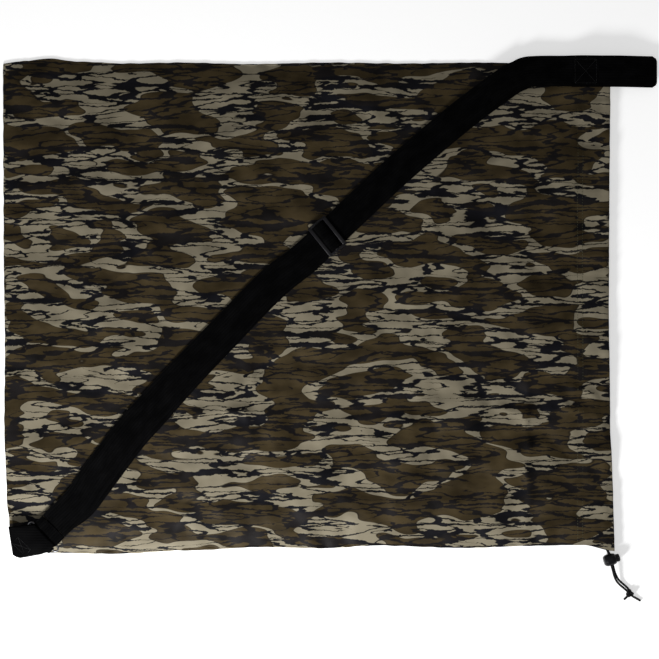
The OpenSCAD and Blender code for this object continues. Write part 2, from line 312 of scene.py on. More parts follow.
def braid_material(name):
    """Round braided cord: two families of strands that cross as diamonds, with painted shade darker between
    the strands.
    """
    material, tree, shader = node_tree(name, 0.55, sheen=0.03, specular=0.15)
    place = flat_place(tree)
    along, across = split(place)
    run = along * (2 * math.pi / (2.4 * MM))
    strand_count, girth = 8, 11.3 * MM
    around = across * (2 * math.pi * strand_count / girth)
    strands = (run + around).sine().at_least((run - around).sine())
    fuzz = cloud(place, (500, 500, 1), detail=3.0)
    # Painted shade: the colour follows the strands' relief, darker in the low places between them.
    tone = ramp(strands, -0.6, 1.0) * fuzz
    colour = mix(tree, tone, (0.0018, 0.0018, 0.002, 1), (0.013, 0.013, 0.0145, 1))
    surface(tree, shader, colour, strands, 0.25 * MM)
    return material


def moulded_material(name, colour, worn, roughness):
    """Moulded plastic: fine texture, soft variation, and corners rubbed lighter."""
    material, tree, shader = node_tree(name, roughness, specular=0.3)
    place = object_place(tree)
    pointed = Value(tree, tree.nodes.new("ShaderNodeNewGeometry").outputs["Pointiness"])
    patchy = cloud(place, detail=5.0, roughness=0.6, scale=160)
    tone = ramp(pointed, 0.5, 0.62) * patchy + patchy * 0.25
    gloss = ramp(patchy, 0.3, 0.7, roughness - 0.07, roughness + 0.09)
    surface(tree, shader, mix(tree, tone, colour, worn), cloud(place, scale=2600), 0.04 * MM, gloss)
    return material


def wire_material(name, colour, dark):
    """Drawn and polished wire with fine lengthwise scratches and a few dull spots."""
    material, tree, shader = node_tree(name, 0.28, metallic=1.0)
    place = object_place(tree)
    spots = cloud(place, detail=6.0, roughness=0.7, scale=220)
    scratches = cloud(place, (1, 1, 12), detail=3.0, scale=400)
    shade = mix(tree, ramp(spots, 0.4, 0.62), dark, colour)
    surface(tree, shader, shade, scratches, 0.03 * MM, ramp(spots, 0.35, 0.65, 0.42, 0.22))
    return material


def floor_material():
    """Pale paper that glows a little, so that it stays white round the object."""
    material, tree, shader = node_tree("floor_paper", 0.9, specular=0.1)
    fibres = cloud(object_place(tree), detail=4.0, scale=90)
    shade = mix(tree, fibres, (0.93, 0.93, 0.93, 1), (0.95, 0.95, 0.95, 1))
    shader.inputs["Emission Color"].default_value = (1, 1, 1, 1)
    shader.inputs["Emission Strength"].default_value = 0.52
    surface(tree, shader, shade, fibres, 0.05 * MM)
    return material


cloth_look = camo_cloth("camo_nylon")
inner_look = camo_cloth("camo_nylon_inside", 0.9)
strap_look = webbing_material("black_webbing")
# The corner patch is the same webbing as the strap, drawn darker as painted shade.
patch_look_painted_shade = webbing_material("black_patch_webbing_painted_shade", (0.0004, 0.0004, 0.0005, 1), (0.0019, 0.0019, 0.0021, 1))
olive_thread = thread_material("olive_thread", (0.044, 0.047, 0.021, 1), (0.078, 0.08, 0.04, 1))
black_thread = thread_material("black_thread", (0.003, 0.003, 0.0033, 1), (0.009, 0.009, 0.01, 1))
cord_look = braid_material("black_braid")
slider_look = moulded_material("slider_nylon", (0.0018, 0.0017, 0.0022, 1), (0.012, 0.0112, 0.0145, 1), 0.42)
lock_look = moulded_material("lock_plastic", (0.002, 0.002, 0.0027, 1), (0.014, 0.0145, 0.019, 1), 0.34)
button_look = moulded_material("button_plastic", (0.0015, 0.0015, 0.0018, 1), (0.01, 0.01, 0.012, 1), 0.42)
ring_look = wire_material("ring_steel", (0.3, 0.3, 0.315, 1), (0.12, 0.12, 0.13, 1))
spring_look = wire_material("spring_steel", (0.62, 0.62, 0.64, 1), (0.35, 0.33, 0.3, 1))

# ---- Mesh helpers ----


def grid_normals(points):
    """Unit normals of a grid of points, whose first index runs along and second across."""
    along = np.gradient(points, axis=0)
    across = np.gradient(points, axis=1)
    normals = np.cross(along, across)
    return normals / np.maximum(np.linalg.norm(normals, axis=2, keepdims=True), 1e-12)


def new_object(name, points, faces, look, flat=None, normals=None):
    """Smooth mesh object with its flat coordinates as UV map, which are x and y when none are given."""
    if flat is None:
        flat = points[:, :2]
    mesh = bpy.data.meshes.new(name)
    mesh.from_pydata(points.tolist(), [], faces)
    mesh.polygons.foreach_set("use_smooth", [True] * len(mesh.polygons))
    corners = np.zeros(len(mesh.loops), np.int32)
    mesh.loops.foreach_get("vertex_index", corners)
    layer = mesh.uv_layers.new(name="UVMap")
    layer.data.foreach_set("uv", flat[corners].astype(np.float32).ravel())
    mesh.materials.append(look)
    mesh.update()
    if normals is not None:
        mesh.normals_split_custom_set_from_vertices(normals.tolist())
    piece = bpy.data.objects.new(name, mesh)
    bpy.context.scene.collection.objects.link(piece)
    return piece


def grid_quads(index):
    """Faces between the neighbours in a grid of point numbers."""
    return np.stack([index[:-1, :-1], index[1:, :-1], index[1:, 1:], index[:-1, 1:]], axis=2).reshape(-1, 4)


def sleeve_faces(count, sides, closed=False):
    """Faces round a tube that has count rings of points."""
    faces = []
    for i in range(count if closed else count - 1):
        after = (i + 1) % count * sides
        for k in range(sides):
            next_k = (k + 1) % sides
            faces.append([i * sides + k, i * sides + next_k, after + next_k, after + k])
    return faces


def merged(parts):
    """Points and faces of several meshes as one."""
    points, faces = [], []
    for part_points, part_faces in parts:
        faces += [[corner + len(points) for corner in face] for face in part_faces]
        points += part_points
    return np.array(points), faces


def sheet_object(name, points, normals, thickness, flat, look):
    """Closed piece of cloth or webbing around a grid of middle points."""
    rows, columns = points.shape[:2]
    half = np.broadcast_to(np.asarray(thickness, float) / 2, (rows, columns))[..., None]
    upper = (points + normals * half).reshape(-1, 3)
    lower = (points - normals * half).reshape(-1, 3)
    count = rows * columns
    index = np.arange(count).reshape(rows, columns)
    quads = grid_quads(index)
    rim = np.concatenate([index[:, 0], index[-1, 1:], index[-2::-1, -1], index[0, -2:0:-1]])
    after = np.roll(rim, -1)
    rim_faces = np.stack([after, after + count, rim + count, rim], axis=1)
    faces = np.concatenate([quads, quads[:, ::-1] + count, rim_faces])
    spots = flat.reshape(-1, 2)
    outward = normals.reshape(-1, 3)
    return new_object(
        name, np.concatenate([upper, lower]), faces.tolist(), look, np.concatenate([spots, spots]),
        np.concatenate([outward, -outward]),
    )


def smooth_line(points, step):
    """Points about one step apart on a smooth curve through the given ones."""
    points = np.asarray(points, float)
    padded = np.concatenate([[2 * points[0] - points[1]], points, [2 * points[-1] - points[-2]]])
    dense = []
    for a, b, c, d in zip(padded, padded[1:], padded[2:], padded[3:]):
        for t in np.linspace(0, 1, 24, endpoint=False):
            square = (2 * a - 5 * b + 4 * c - d) * t ** 2
            cube = (3 * b - a - 3 * c + d) * t ** 3
            dense.append(0.5 * (2 * b + (c - a) * t + square + cube))
    dense.append(padded[-2])
    dense = np.array(dense)
    travel = travel_of(dense)
    places = np.linspace(0, travel[-1], max(int(travel[-1] / step), 2) + 1)
    return np.stack([np.interp(places, travel, dense[:, k]) for k in range(dense.shape[1])], axis=1)


def travel_of(line):
    """Distance along a line at each of its points."""
    return np.concatenate([[0], np.cumsum(np.linalg.norm(np.diff(line, axis=0), axis=1))])


def left_of(line):
    """Level unit vectors pointing to the left of a line."""
    ahead = np.gradient(line[:, :2], axis=0)
    ahead /= np.linalg.norm(ahead, axis=1, keepdims=True)
    return np.stack([-ahead[:, 1], ahead[:, 0]], axis=1)


def tube_object(name, line, radius, look, sides=14, closed=False, relief=0.0):
    """Round tube along a line, with its length and girth as flat coordinates."""
    count = len(line)
    if closed:
        ahead = np.roll(line, -1, axis=0) - np.roll(line, 1, axis=0)
    else:
        ahead = np.gradient(line, axis=0)
    ahead /= np.linalg.norm(ahead, axis=1, keepdims=True)
    side = np.cross(ahead, [0.05, 0.02, 1.0])
    side /= np.linalg.norm(side, axis=1, keepdims=True)
    rise = np.cross(side, ahead)
    turns = 2 * math.pi * np.arange(sides) / sides
    travel = travel_of(line)
    swell = radius + relief * np.sin(2 * math.pi * travel[:, None] / 0.0024 + 2 * turns[None, :])
    ring = side[:, None] * np.cos(turns)[None, :, None] + rise[:, None] * np.sin(turns)[None, :, None]
    points = (line[:, None] + ring * swell[..., None]).reshape(-1, 3)
    flat = np.stack(np.broadcast_arrays(travel[:, None], turns[None, :] * radius), axis=2).reshape(-1, 2)
    faces = sleeve_faces(count, sides, closed)
    if not closed:
        first_tip = line[0] - ahead[0] * radius * 0.5
        last_tip = line[-1] + ahead[-1] * radius * 0.5
        points = np.concatenate([points, [first_tip], [last_tip]])
        flat = np.concatenate([flat, [[travel[0], 0]], [[travel[-1], 0]]])
        for k in range(sides):
            next_k = (k + 1) % sides
            faces.append([count * sides, next_k, k])
            faces.append([count * sides + 1, (count - 1) * sides + k, (count - 1) * sides + next_k])
    return new_object(name, points, faces, look, flat)


# ---- Drawcord tails, first of all because they lie free ----

cord_r = 1.8 * MM
tail_long_route = MM * np.array([
    [441, -380.3, 11.8], [442.3, -384.5, 11.8], [444.2, -389, 11.6], [446.3, -394, 11.3], [447.8, -399.5, 11],
    [449.2, -405.2, 10.9], [450.7, -411, 10.9], [452, -416, 10.9], [453.4, -421, 10.9], [454.8, -426.5, 10.7],
    [456.7, -432.5, 9.6], [459.6, -438.5, 7.6], [463.8, -443.8, 5.4], [469, -448.6, 3.8],
    [474.6, -453.2, 3.4], [479.5, -457.6, 4.2], [483.5, -461.8, 4.2], [487.4, -465, 3],
    [491.8, -467.6, 2.1], [496, -470, 1.8], [499.5, -472, 1.8],
])
tail_short_route = MM * np.array([
    [441, -380.3, 2.8], [442, -384.5, 3.2], [444.6, -389, 5.2], [448.2, -394.4, 7.2], [450.4, -400, 8],
    [451.8, -404.5, 8.1], [453.3, -410.3, 8.1], [454.6, -415.3, 8.1], [456, -420.3, 8], [457.6, -426, 7.4],
    [460.4, -432, 6], [463.9, -437.6, 4.2], [468.9, -442.7, 2.5], [474.4, -447.5, 1.9], [479.2, -452.1, 2.4],
    [481.8, -456.6, 3.8], [481, -461.2, 3.6], [478.4, -465, 2.4], [475.6, -468, 1.9], [473.4, -470, 1.9],
])


def knot_piece():
    """Overhand knot that holds both tails together: the cord wound as a three-lobed closed loop."""
    middle = (knot_low + knot_high) / 2
    lobe = (knot_high[0] - knot_low[0]) / 2 - 0.4 * MM
    turn = np.linspace(0, 2 * math.pi, 90, endpoint=False)
    loop = np.stack([
        lobe / 2.6 * (np.sin(turn) + 2 * np.sin(2 * turn)),
        lobe / 2.6 * (np.cos(turn) - 2 * np.cos(2 * turn)),
        -0.55 * lobe * np.sin(3 * turn),
    ], axis=1)
    lean = np.array(Matrix.Rotation(math.radians(-40), 3, "Z") @ Matrix.Rotation(math.radians(12), 3, "X"))
    line = middle + [0, 0, 0.3 * MM] + loop @ lean.T
    piece = tube_object("drawcord_knot_wound", line, 1.9 * MM, cord_look, 12, True, 0.06 * MM)
    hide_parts("drawcord_knot")
    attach(piece, "sack_back")
    return piece


def tail_piece(name, node, route):
    line = smooth_line(route, 0.6 * MM)
    piece = tube_object(name, line, cord_r, cord_look, 14, False, 0.05 * MM)
    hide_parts(node)
    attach(piece, "sack_back")


knot = knot_piece()
tail_piece("drawcord_tail_to_hem_front", "drawcord_tail_long", tail_long_route)
tail_piece("drawcord_tail_to_hem_back", "drawcord_tail_short", tail_short_route)

# ---- The sack's shape ----

cloth_t = 0.6 * MM
edge_z = 2.0 * MM
full_z = 13.3 * MM
flat_z = 14.0 * MM  # under the strap, where the cloth lies smooth
hem_turned_in = 56 * MM
sewn_gap = 1.1 * MM  # between the middles of a hem's layers where it is sewn


def smoothstep(value, low, high):
    t = np.clip((value - low) / (high - low), 0, 1)
    return t * t * (3 - 2 * t)


def edge_curve(pairs):
    """Smooth edge through (place along it, position across it) pairs in millimetres."""
    at, value = MM * np.array(pairs, float).T

    def curve(place):
        i = np.clip(np.searchsorted(at, place) - 1, 0, len(at) - 2)
        t = np.clip((place - at[i]) / (at[i + 1] - at[i]), 0, 1)
        t = t * t * (3 - 2 * t)
        return value[i] * (1 - t) + value[i + 1] * t

    return curve


upper_edge = edge_curve([
    (-525, 391), (-488, 395), (-451, 399), (-405, 394), (-330, 391), (-240, 392.5), (-130, 390), (0, 392.5),
    (120, 391), (240, 392.5), (340, 391), (449, 391),
])
lower_edge = edge_curve([
    (-515, -384), (-490, -391), (-460, -394), (-350, -396), (-230, -390.5), (-105, -385), (-10, -387),
    (75, -382.5), (215, -386.5), (330, -383), (405, -381), (456, -391),
])
left_edge = edge_curve([
    (-395, -510), (-353, -514), (-306, -518.5), (-190, -522.5), (-70, -521.5), (100, -523.5), (391, -524.5),
])
mouth_edge = edge_curve([
    (-393, 456), (-291, 453.7), (-190, 449.6), (-20, 447), (160, 447.6), (340, 449), (392, 449),
])

strap_line = MM * np.array([
    [447, 377], [330, 377], [303, 370], [276, 354], [203, 299], [109, 219], [46, 160], [-36, 83], [-92, 39],
    [-169, -39], [-234, -105], [-288, -163], [-323, -202], [-379, -277], [-402, -311], [-440.6, -349.8],
])
return_line = MM * np.array([
    [-14, 102], [-38, 78], [-94, 32], [-169, -45.5], [-231, -111], [-283, -170], [-318, -209], [-374, -284],
    [-399, -316], [-428.1, -336.9], [-440.6, -349.8],
])


def ripple(x, y, length, seed, turn=0.0, spread=math.pi, waves=10):
    """Soft random unevenness about one high: waves of about one length, near one direction."""
    dice = np.random.default_rng(seed)
    total = np.zeros_like(x)
    for _ in range(waves):
        way = turn + spread * (dice.random() - 0.5)
        span = length * (0.7 + 0.8 * dice.random())
        travel = (x * math.cos(way) + y * math.sin(way)) / span
        total += np.sin(2 * math.pi * (travel + dice.random()))
    return total / math.sqrt(waves / 2)


def distance_to_line(x, y, line):
    """Distance from each place to the nearest stretch of a line."""
    best = np.full(x.shape, 1e3)
    for a, b in zip(line, line[1:]):
        way = b - a
        t = np.clip(((x - a[0]) * way[0] + (y - a[1]) * way[1]) / (way @ way), 0, 1)
        best = np.minimum(best, np.hypot(x - a[0] - t * way[0], y - a[1] - t * way[1]))
    return best


def seam_share(x, y):
    """From 0 at a sewn edge to 1 well inside. Beside the mouth the hems end open, so they stay up."""
    hem_open = smoothstep(x, hem_x - 45 * MM, hem_x + 6 * MM)
    share = np.ones_like(x)
    for inside, span, free in (
        (upper_edge(x) - y, 34 * MM, hem_open), (y - lower_edge(x), 34 * MM, hem_open),
        (x - left_edge(y), 30 * MM, 0.0),
    ):
        sunk = np.exp(-(np.clip(inside, 0, None) / span) ** 1.1)
        share = share * (1 - sunk * (1 - free))
    return share


# Folds left by packing: two ends, height and half width, in millimetres
creases = [
    ((-318, 300), (-322, -20), 1.3, 9), ((-322, -20), (-314, -376), 1.9, 9),
    ((-128, 375), (-131, 90), 1.0, 9), ((-131, -30), (-126, -376), 1.7, 10),
    ((165, 330), (168, 60), 1.2, 9), ((168, 60), (163, -360), -1.2, 8),
    ((318, 330), (314, -90), 1.1, 9), ((314, -90), (319, -366), 2.2, 7),
    ((-262, -166), (-40, -171), 1.6, 9), ((-20, -172), (220, -166), -0.9, 10),
    ((224, -160), (372, -170), 1.7, 8), ((-500, -168), (-330, -172), 1.0, 9),
    ((-480, 196), (-150, 201), 1.0, 9), ((60, 20), (380, 24), 0.9, 10),
    ((-508, -272), (-454, -318), 2.4, 6), ((372, -122), (436, -150), 1.8, 7),
    ((366, -150), (440, -186), 1.6, 8), ((330, -186), (392, -252), -1.4, 9),
    ((-505, 60), (-392, 10), 1.3, 10), ((-470, 330), (-390, 250), -1.3, 10),
    ((20, -300), (96, -372), 1.4, 9), ((-210, -300), (-262, -378), 1.4, 9),
    ((200, 205), (330, 260), 1.2, 11), ((70, 300), (-40, 350), -1.2, 10),
]


def crease_height(x, y):
    """Height of all folds: narrow ridges or grooves that wander and fade out at their ends."""
    total = np.zeros_like(x)
    for number, (start, end, height, width) in enumerate(creases):
        a = MM * np.array(start, float)
        way = MM * np.array(end, float) - a
        length = math.hypot(*way)
        along = ((x - a[0]) * way[0] + (y - a[1]) * way[1]) / length
        off = ((x - a[0]) * -way[1] + (y - a[1]) * way[0]) / length
        off = off + 2.5 * MM * ripple(along, np.zeros_like(along), 90 * MM, 300 + number, 0, 0.1, 3)
        fade = smoothstep(along, -0.06 * length, 0.2 * length)
        fade = fade * (1 - smoothstep(along, 0.8 * length, 1.06 * length))
        strength = 0.75 + 0.3 * ripple(along, np.zeros_like(along), 60 * MM, 500 + number, 0, 0.1, 3)
        total += height * MM * strength * fade * np.exp(-np.sqrt(off ** 2 + (1.2 * MM) ** 2) / (width * MM))
    return total


def hem_relief(x, y):
    """The hem on top: a groove along each stitch row, small gathers, and the drawcord's bulge."""
    gather = ripple(y, np.zeros_like(y), 17 * MM, 61, 0, 0.1, 6)
    relief = np.zeros_like(x)
    for row in stitch_rows_x:
        relief -= (0.8 + 0.2 * gather) * MM * np.exp(-((x - row) / (2.8 * MM)) ** 2)
    relief += 0.9 * MM * np.exp(-((x - hem_cord_x) / (4.5 * MM)) ** 2)
    on_hem = smoothstep(x, hem_x, hem_x + 20 * MM)
    return relief + 0.35 * MM * gather * on_hem


def wrinkles(x, y):
    """Unevenness of the loose cloth."""
    total = 1.4 * MM * ripple(x, y, 190 * MM, 5)
    total += 1.5 * MM * ripple(x, y, 80 * MM, 8)
    total += 0.55 * MM * ripple(x, y, 34 * MM, 13)
    return total + 2.4 * crease_height(x, y)


def puckers(x, y):
    """Short gathers that run inward from the sewn edges."""
    zero = np.zeros_like(x)
    total = np.zeros_like(x)
    for inside, along, seed in (
        (upper_edge(x) - y, x, 21), (y - lower_edge(x), x, 22), (x - left_edge(y), y, 23),
    ):
        inside = np.clip(inside, 0, None)
        grip = np.exp(-inside / (34 * MM)) * (1 - np.exp(-inside / (6 * MM)))
        total += 1.1 * MM * grip * ripple(along, zero, 36 * MM, seed, 0, 0.1, 7)
    return total


def front_top(x, y):
    """Height of the front panel's outer face."""
    share = seam_share(x, y)
    strap_near = 1 - smoothstep(distance_to_line(x, y, strap_line), 24 * MM, 62 * MM)
    exit_near = 1 - smoothstep(np.hypot(x - mouth_x, y - panel_low[1]), 30 * MM, 80 * MM)
    calm = np.maximum(strap_near, exit_near)
    loose = full_z + wrinkles(x, y) * (1 - 0.9 * calm)
    height = loose * (1 - calm) + flat_z * calm
    height = edge_z + (height - edge_z) * share + puckers(x, y) * (1 - 0.8 * calm)
    return np.maximum(height + hem_relief(x, y) * share, edge_z)


def fold_profile(depth, turn_r, steps):
    """Turned-in hem seen from its side: offsets from the mouth's edge and heights below the outer face."""
    turn = np.linspace(math.pi / 2, -math.pi / 2, steps)
    arc = [(turn_r * (math.cos(a) - 1), turn_r * (math.sin(a) - 1)) for a in turn]
    back_x = np.linspace(-turn_r, -depth, 18)[1:]
    pinch = smoothstep(-back_x, 12 * MM, 38 * MM)
    back_z = -2 * turn_r * (1 - pinch) - sewn_gap * pinch
    return np.array(arc + list(zip(back_x, back_z)))


def cloth_grid(step, place_z, upward):
    """Grid of middle points of one panel with its turned-in hem, and their flat coordinates."""
    turn_r = 2.2 * MM
    across = np.linspace(0, 1, 2 * int(round((panel_high[1] - panel_low[1]) / step / 2)) + 1)
    along = np.linspace(0, 1, int(round((mouth_x - panel_low[0]) / step)) + 1)
    u, v = np.meshgrid(along, across, indexing="ij")
    x = panel_low[0] + (mouth_x - panel_low[0]) * u
    y = lower_edge(x) * (1 - v) + upper_edge(x) * v
    start = left_edge(y)
    x = start + (mouth_edge(y) - turn_r - start) * u
    z = place_z(x, y)
    points = np.stack([x, y, z], axis=2)
    rim_x = mouth_edge(y[-1])
    fold = []
    for off, drop in fold_profile(hem_turned_in, turn_r, 9)[1:]:
        fold_x = rim_x + off
        inner_x = np.minimum(fold_x, rim_x - turn_r)
        fold_y = lower_edge(inner_x) * (1 - v[-1]) + upper_edge(inner_x) * v[-1]
        fold.append(np.stack([fold_x, fold_y, place_z(inner_x, fold_y) + upward * drop], axis=1))
    points = np.concatenate([points, np.array(fold)])
    run = np.array([travel_of(points[:, j]) for j in range(points.shape[1])]).T
    flat = np.stack([panel_low[0] + run, points[..., 1]], axis=2)
    return points, flat


def lift_with_front(piece, upper, band=22 * MM):
    """Bakes the piece's placement into its mesh; where its band from the side seam lies is worked out but not
    used.
    """
    edge = panel_high[1] - 1 * MM if upper else panel_low[1] + 4 * MM
    inward = -band if upper else band
    edge + inward
    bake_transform(piece)


def front_panel_pieces():
    """The front panel as a lower and an upper piece that meet along its middle, with one shared shading."""
    points, flat = cloth_grid(4 * MM, lambda x, y: front_top(x, y) - cloth_t / 2, 1)
    normals = grid_normals(points)
    middle = points.shape[1] // 2
    for half, part in (("lower", np.s_[:, : middle + 1]), ("upper", np.s_[:, middle:])):
        piece = sheet_object(
            f"front_cloth_{half}", points[part], normals[part], cloth_t, flat[part], cloth_look
        )
        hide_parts("front_panel", "front_mouth_hem", "front_hem_fold", "front_hem_sewn_edge")
        lift_with_front(piece, half == "upper")


def back_height(x, y):
    """Middle of the back panel's cloth, nearly flat on the ground."""
    return 0.45 * MM + 0.12 * MM * (1 + ripple(x, y, 120 * MM, 77) / 2.5)


def back_panel_piece():
    points, flat = cloth_grid(8 * MM, back_height, -1)
    normals = grid_normals(points)
    piece = sheet_object("back_cloth", points, normals, cloth_t, flat, inner_look)
    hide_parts("back_panel", "back_mouth_hem", "back_hem_fold", "back_hem_sewn_edge")
    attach(piece, "sack_back")


def seam_roll(name, node, line, width, height):
    """Rounded edge where front and back are sewn together and turned out."""
    count = len(line)
    side = left_of(line)
    sides = 12
    turns = 2 * math.pi * np.arange(sides) / sides
    wave = 1 + 0.12 * ripple(travel_of(line), np.zeros(count), 30 * MM, 90, 0, 0.1, 5)
    across = (width / 2 * np.cos(turns))[None, :] * wave[:, None]
    rise = (height / 2 * np.sin(turns))[None, :] * wave[:, None]
    points = np.zeros((count, sides, 3))
    points[..., :2] = line[:, None, :2] + side[:, None] * across[..., None]
    points[..., 2] = 1.3 * MM + np.maximum(rise, -1.15 * MM)
    faces = [face[::-1] for face in sleeve_faces(count, sides)]
    faces += [list(range(sides)), [(count - 1) * sides + k for k in range(sides - 1, -1, -1)]]
    piece = new_object(name, points.reshape(-1, 3), faces, cloth_look)
    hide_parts(node)
    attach(piece, "sack_back")


def seam_pieces():
    inset = 1.2 * MM
    for name, node, edge, inward in (
        ("upper_seam_edge", "upper_side_seam", upper_edge, -inset),
        ("lower_seam_edge", "lower_side_seam", lower_edge, inset),
    ):
        x = np.linspace(left_edge(edge(panel_low[0])) + inset, hem_x, 230)
        seam_roll(name, node, np.stack([x, edge(x) + inward], axis=1), 4.4 * MM, 2.6 * MM)
    y = np.linspace(lower_edge(panel_low[0]) + inset, upper_edge(panel_low[0]) - inset, 190)
    line = np.stack([left_edge(y) + inset, y], axis=1)
    seam_roll("bottom_seam_edge", "bottom_seam", line, 4.6 * MM, 2.6 * MM)


def stitch_faces(count):
    """Faces of small bars, each with four stations of three points along it."""
    faces = []
    for first in range(0, count, 12):
        for a in (first, first + 3, first + 6):
            faces += [[a, a + 1, a + 4, a + 3], [a + 1, a + 2, a + 5, a + 4], [a + 2, a, a + 3, a + 5]]
        faces += [[first, first + 2, first + 1], [first + 9, first + 10, first + 11]]
    return faces


def stitch_row(x, start, end, height_at, pitch=4.4 * MM):
    """Points and faces of a row of sewn stitches, each a small rounded bar that dips at its ends."""
    points = []
    for at in np.arange(start, end - pitch, pitch):
        for share, half, rise, dip in (
            (0.0, 0.16, 0.0, 0.1), (0.14, 0.5, 0.34, 0.0), (0.5, 0.5, 0.34, 0.0), (0.66, 0.16, 0.0, 0.1),
        ):
            y = at + share * pitch
            base = float(height_at(np.array([x]), np.array([y]))[0]) - dip * MM
            for side in (-1, 0, 1):
                points.append((x + side * half * MM, y, base + (rise * MM if side == 0 else 0)))
    return points, stitch_faces(len(points))


def stitch_object(name, height_at, start, end):
    """Both stitch rows of a hem between two places along them."""
    points, faces = merged([stitch_row(x, start, end, height_at) for x in stitch_rows_x])
    return new_object(name, points, faces, olive_thread)


def back_hem_top(x, y):
    """Upper face of the back hem's turned-in layer."""
    return back_height(x, y) + sewn_gap + cloth_t / 2


def hem_stitch_pieces():
    low, high = corners("front_hem_stitches")
    for half, start, end in (("lower", low[1], mid_y), ("upper", mid_y, high[1])):
        piece = stitch_object(f"front_stitches_{half}", front_top, start, end)
        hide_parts("front_hem_stitches")
        lift_with_front(piece, half == "upper")
    low, high = corners("back_hem_stitches")
    piece = stitch_object("back_stitches", back_hem_top, low[1], high[1])
    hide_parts("back_hem_stitches")
    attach(piece, "sack_back")


def drawcord_runs():
    """The drawcord inside the hems, with its turn from the back hem to the front hem."""
    low, high = corners("drawcord_front_run")
    back_low = corners("drawcord_back_run")[0]
    run_r = (high[0] - low[0]) / 2
    half_count = 80
    y = np.linspace(low[1], high[1], 2 * half_count)
    arch = np.sin(math.pi * np.linspace(0, 1, 2 * half_count))
    x = hem_cord_x + 0.5 * MM * ripple(y, np.zeros_like(y), 120 * MM, 41, 0, 0.1, 4) * arch
    raised = arch ** 0.3
    under_hem = front_top(x, y) - cloth_t - 0.9 * MM - run_r
    line = np.stack([x, y, under_hem * raised + (1 - raised) * (low[2] + run_r)], axis=1)
    for half, part in (("lower", line[: half_count + 1]), ("upper", line[half_count:])):
        piece = tube_object(f"drawcord_in_front_hem_{half}", part, run_r, cord_look, 12)
        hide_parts("drawcord_front_run")
        lift_with_front(piece, half == "upper")
    centre_low = back_low[2] + run_r
    turn_r = (low[2] + run_r - centre_low) / 2
    angle = np.linspace(-math.pi / 2, math.pi / 2, 18)
    bend_y = high[1] + turn_r * np.cos(angle)
    bend_z = centre_low + turn_r * (1 + np.sin(angle))
    straight_y = np.linspace(back_low[1], high[1], 120)[:-1]
    line_y = np.concatenate([straight_y, bend_y])
    line_z = np.concatenate([np.full_like(straight_y, centre_low), bend_z])
    line = np.stack([np.full_like(line_y, hem_cord_x), line_y, line_z], axis=1)
    piece = tube_object("drawcord_in_back_hem", line, run_r, cord_look, 12)
    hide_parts("drawcord_back_run")
    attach(piece, "sack_back")


front_panel_pieces()
back_panel_piece()
seam_pieces()
hem_stitch_pieces()
drawcord_runs()

# ---- Strap ----

web_w = loop_high[1] - loop_low[1]
web_t = layer_high[2] - layer_low[2]
lower_layer_z = layer_low[2] + web_t / 2
upper_layer_z = corners("strap_main_run")[0][2] + web_t / 2
strap_y = (loop_low[1] + loop_high[1]) / 2
join_x = 430 * MM  # where the moving end takes over from the sewn strap
slider_middle = (slider_low[:2] + slider_high[:2]) / 2
slide_turn = math.radians(43)  # the strap's slant where the slider sits
slide_way = np.array([math.cos(slide_turn), math.sin(slide_turn)])
slider_path = np.array([slider_middle - 65 * MM * slide_way, slider_middle + 115 * MM * slide_way])
cross = np.linspace(-1, 1, 13)
edge_round = np.where(np.abs(cross) > 0.99, 0.35, np.where(np.abs(cross) > 0.8, 0.9, 1.0))


def strap_sag(x, y):
    """How far the strap sinks where it hangs over the upper edge, and past the mouth."""
    over_edge = smoothstep(y, 366 * MM, 404 * MM) * (1 - smoothstep(x, 372 * MM, 408 * MM))
    past_mouth = smoothstep(x, mouth_x + 2 * MM, loop_high[0] + 8 * MM)
    return -5.5 * MM * over_edge - 8.5 * MM * past_mouth


def flutter(x, y):
    """Slight waviness of stiff webbing, which lies flat where the slider travels."""
    free = smoothstep(distance_to_line(x, y, slider_path), 32 * MM, 80 * MM)
    return 0.3 * MM * free * ripple(x, y, 110 * MM, 31, slide_turn, 1.0, 6)


def buckles(x, y):
    """Fold ridges where the strap turns from level to slanting."""
    total = np.zeros_like(x)
    for place, degrees, height in (((300, 368), 62, 1.1), ((272, 351), 75, 1.4), ((246, 331), 58, 0.9)):
        turn = math.radians(degrees)
        off = (x - place[0] * MM) * math.sin(turn) - (y - place[1] * MM) * math.cos(turn)
        total += height * MM * np.exp(-(off / (6 * MM)) ** 2)
    return total


def flat_ribbon(name, line, layer_z, extra=None):
    """Webbing that lies along a line."""
    side = left_of(line)
    x = line[:, None, 0] + side[:, None, 0] * cross * web_w / 2
    y = line[:, None, 1] + side[:, None, 1] * cross * web_w / 2
    z = layer_z + strap_sag(x, y) + np.abs(flutter(x, y))
    if extra is not None:
        z = z + extra(x, y)
    points = np.stack([x, y, z], axis=2)
    run = travel_of(line)
    flat = np.stack(np.broadcast_arrays(run[:, None], cross * web_w / 2), axis=2)
    points = points[:, ::-1]
    return sheet_object(name, points, grid_normals(points), web_t * edge_round, flat[:, ::-1], strap_look)


def section_ribbon(name, section, origin, ahead, sag=None, corner=0.0):
    """Webbing bent about a level axis. The section holds distances along ahead and heights, and
    corner says how much shorter its far end is at the webbing's two edges."""
    section = np.asarray(section, float)
    ahead = np.asarray(ahead, float)
    side = np.array([-ahead[1], ahead[0]])
    shorter = 1 - corner / section[:, 0].max() * np.clip((np.abs(cross) - 0.7) / 0.3, 0, 1) ** 2
    out = section[:, None, 0] * shorter
    x = origin[0] + out * ahead[0] + side[0] * cross * web_w / 2
    y = origin[1] + out * ahead[1] + side[1] * cross * web_w / 2
    z = origin[2] + section[:, None, 1] + np.zeros_like(x)
    if sag is not None:
        z = z + sag(x, y)
    points = np.stack([x, y, z], axis=2)
    flat = np.stack(np.broadcast_arrays(travel_of(section)[:, None], cross * web_w / 2), axis=2)
    return sheet_object(name, points, grid_normals(points), web_t * edge_round, flat, strap_look)


